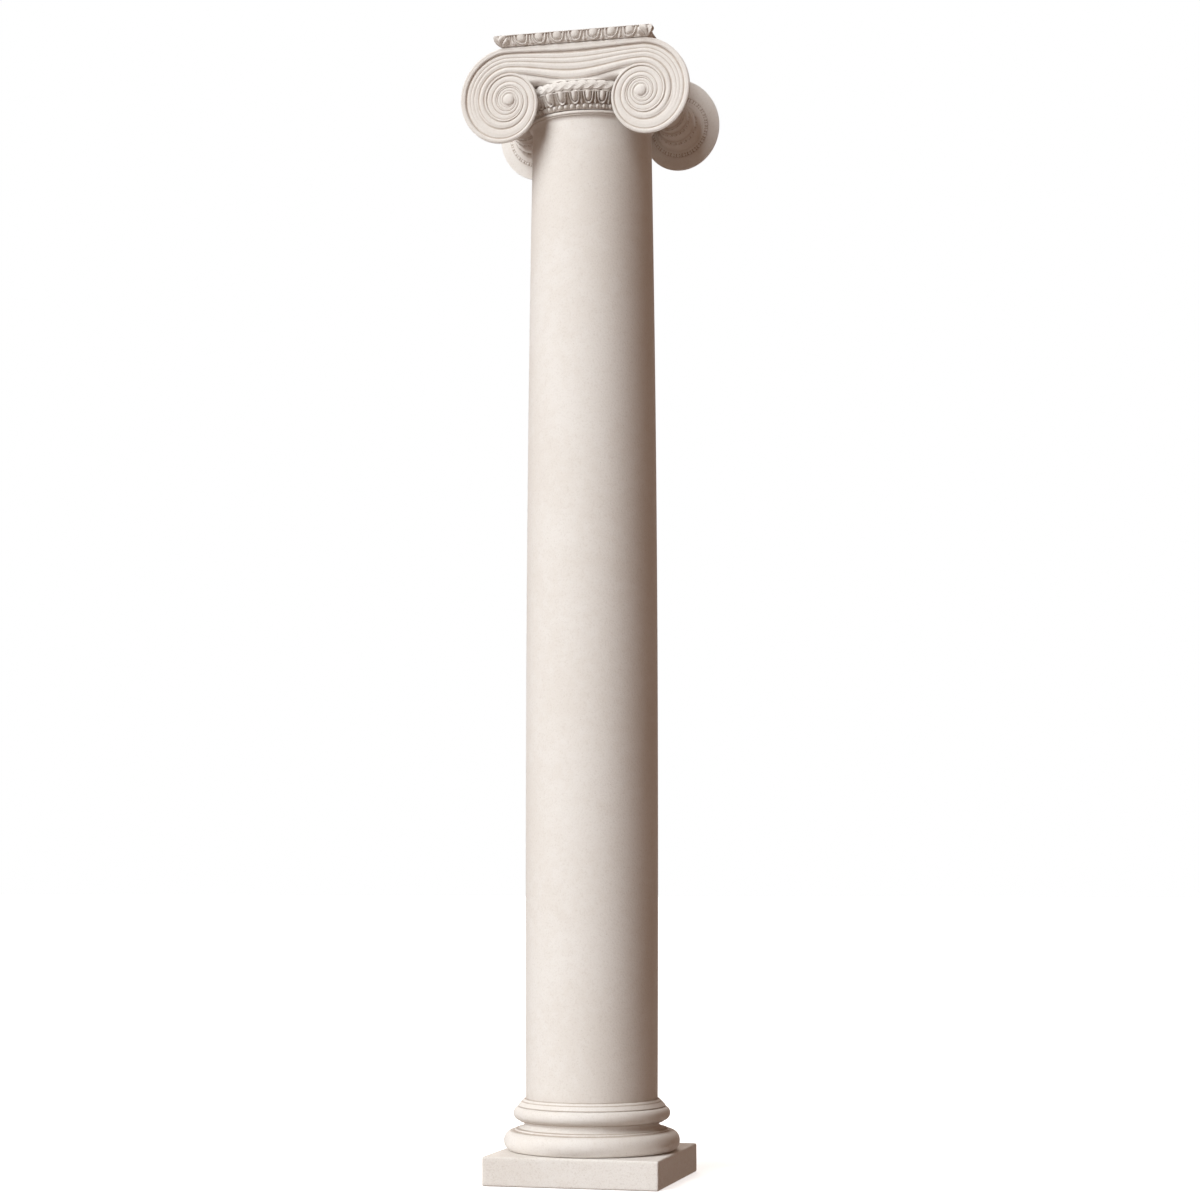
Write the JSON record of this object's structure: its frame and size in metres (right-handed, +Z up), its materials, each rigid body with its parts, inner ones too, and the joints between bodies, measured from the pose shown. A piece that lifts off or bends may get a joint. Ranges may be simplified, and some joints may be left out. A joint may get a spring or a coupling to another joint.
{
  "type": "ionic column",
  "caption": "Freestanding ionic column with a square plinth, attic base, plain tapered shaft and scrolled capital with carved echinus and abacus, to hold up a beam or stand as ornament.",
  "frame": {"origin": "centre of the plinth's underside, where the column stands on the floor", "axes": "+Z up along the shaft, scrolled faces towards -Y and +Y, bolsters on the -X and +X sides"},
  "size_m": [0.553, 0.408, 2.665],
  "materials": {
    "plinth_casting": "matt off-white cast composite with a fine grain and slightly worn arrises",
    "base_casting": "matt off-white cast composite with a fine grain",
    "shaft_casting": "matt off-white cast composite, smoothed, with a fine grain",
    "capital_casting": "matt off-white cast composite, with slightly darker recesses in the carving"
  },
  "bodies": {
    "root": {"plinth": "plinth_casting", "base_moulding": "base_casting", "shaft": "shaft_casting", "capital": "capital_casting"}
  },
  "joints": []
}
